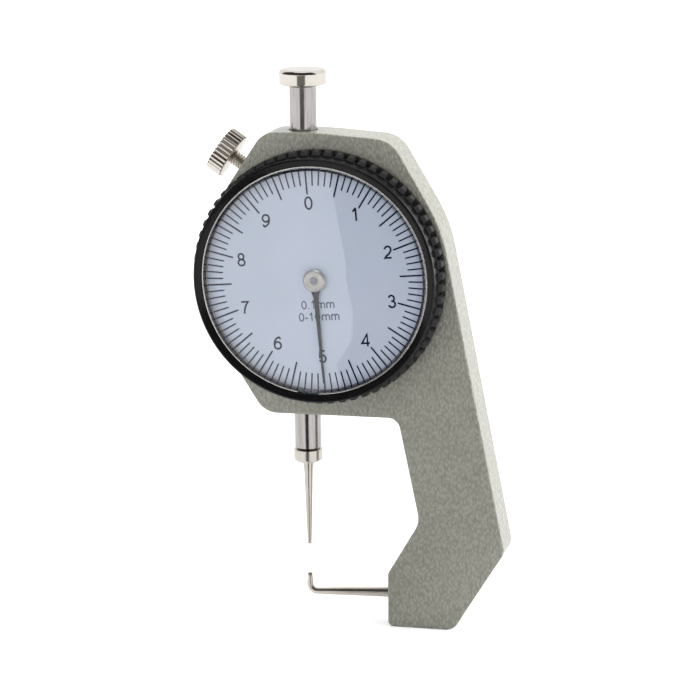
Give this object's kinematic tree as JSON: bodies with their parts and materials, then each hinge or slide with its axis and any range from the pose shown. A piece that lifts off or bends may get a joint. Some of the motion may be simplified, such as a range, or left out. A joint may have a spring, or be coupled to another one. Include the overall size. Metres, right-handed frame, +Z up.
{
  "type": "dial thickness gauge",
  "caption": "Pocket dial thickness gauge: a plunger with a needle tip closes on a bent anvil in a C-shaped frame, and a rack and pinion turn the dial's pointer.",
  "frame": {"origin": "centre of the back cover's outer face, on the axis of the dial and pointer", "axes": "+Z up along the spindle towards the plunger cap; the dial faces -Y, so +Y is the back; +X towards the arm of the frame"},
  "size_m": [0.051, 0.0141, 0.0923],
  "materials": {
    "hammertone_paint": "grey-green hammertone enamel on a zinc casting, pebbled about 1 mm",
    "chrome": "bright plated steel",
    "steel": "ground steel",
    "spring_steel": "drawn spring steel",
    "brass": "turned brass",
    "black_plastic": "moulded black plastic, semi-gloss",
    "dial_paint": "pale blue-white dial paint with black printed scale",
    "clear_plastic": "clear domed acrylic",
    "pointer_paint": "dark grey satin",
    "boss_metal": "nickel-plated brass"
  },
  "bodies": {
    "frame": {"frame": "hammertone_paint", "back_cover": "steel", "cover_screw_1": "steel", "cover_screw_2": "steel", "cover_screw_3": "steel", "cover_screw_4": "steel", "upper_bush": "brass", "lower_bush": "brass", "front_bearing": "brass", "rear_bridge": "brass", "rear_bearing": "steel", "bridge_screw_1": "steel", "bridge_screw_2": "steel", "hairspring_stud": "steel", "hairspring": "spring_steel", "spring_post": "steel", "return_spring": "spring_steel", "anvil": "chrome", "anvil_set_screw": "steel", "bezel_snap_ring": "spring_steel"},
    "spindle": {"spindle": "steel", "plunger_cap": "chrome", "contact_point": "chrome", "guide_pin": "steel", "spring_pin": "steel"},
    "pointer": {"pointer_arbor": "steel", "pinion": "brass", "hairspring_collet": "brass", "pointer": "pointer_paint", "pointer_boss": "boss_metal"},
    "bezel": {"bezel": "black_plastic", "dial_face": "dial_paint", "crystal": "clear_plastic", "crystal_ring": "chrome"},
    "lock_pad": {"lock_pad": "brass"},
    "lock_screw": {"lock_screw": "chrome"}
  },
  "joints": [
    {"name": "spindle_slide", "type": "slide", "parent": "frame", "child": "spindle", "axis": [0, 0, 1], "range_m": [-0.005, 0.005], "stiffness_N_per_m": 40, "springref_m": -0.015, "deforming": ["return_spring"]},
    {"name": "pointer_turn", "type": "hinge", "parent": "frame", "child": "pointer", "pos_m": [0, 0, 0], "axis": [0, 1, 0], "range_deg": [-185, 185], "deforming": ["hairspring"]},
    {"name": "bezel_turn", "type": "hinge", "parent": "frame", "child": "bezel", "pos_m": [0, 0, 0], "axis": [0, 1, 0], "continuous": true},
    {"name": "lock_pad_slide", "type": "slide", "parent": "frame", "child": "lock_pad", "axis": [-0.829, 0, 0.5592], "range_m": [0, 0.0009]},
    {"name": "lock_screw_turn", "type": "hinge", "parent": "lock_pad", "child": "lock_screw", "pos_m": [-0.00353, -0.0046, 0.0106], "axis": [-0.829, 0, 0.5592], "range_deg": [0, 730]}
  ],
  "couplings": [
    {"joint": "pointer_turn", "follows": "spindle_slide", "rad_per_m": 628.32},
    {"joint": "lock_screw_turn", "follows": "lock_pad_slide", "rad_per_m": 13963}
  ]
}
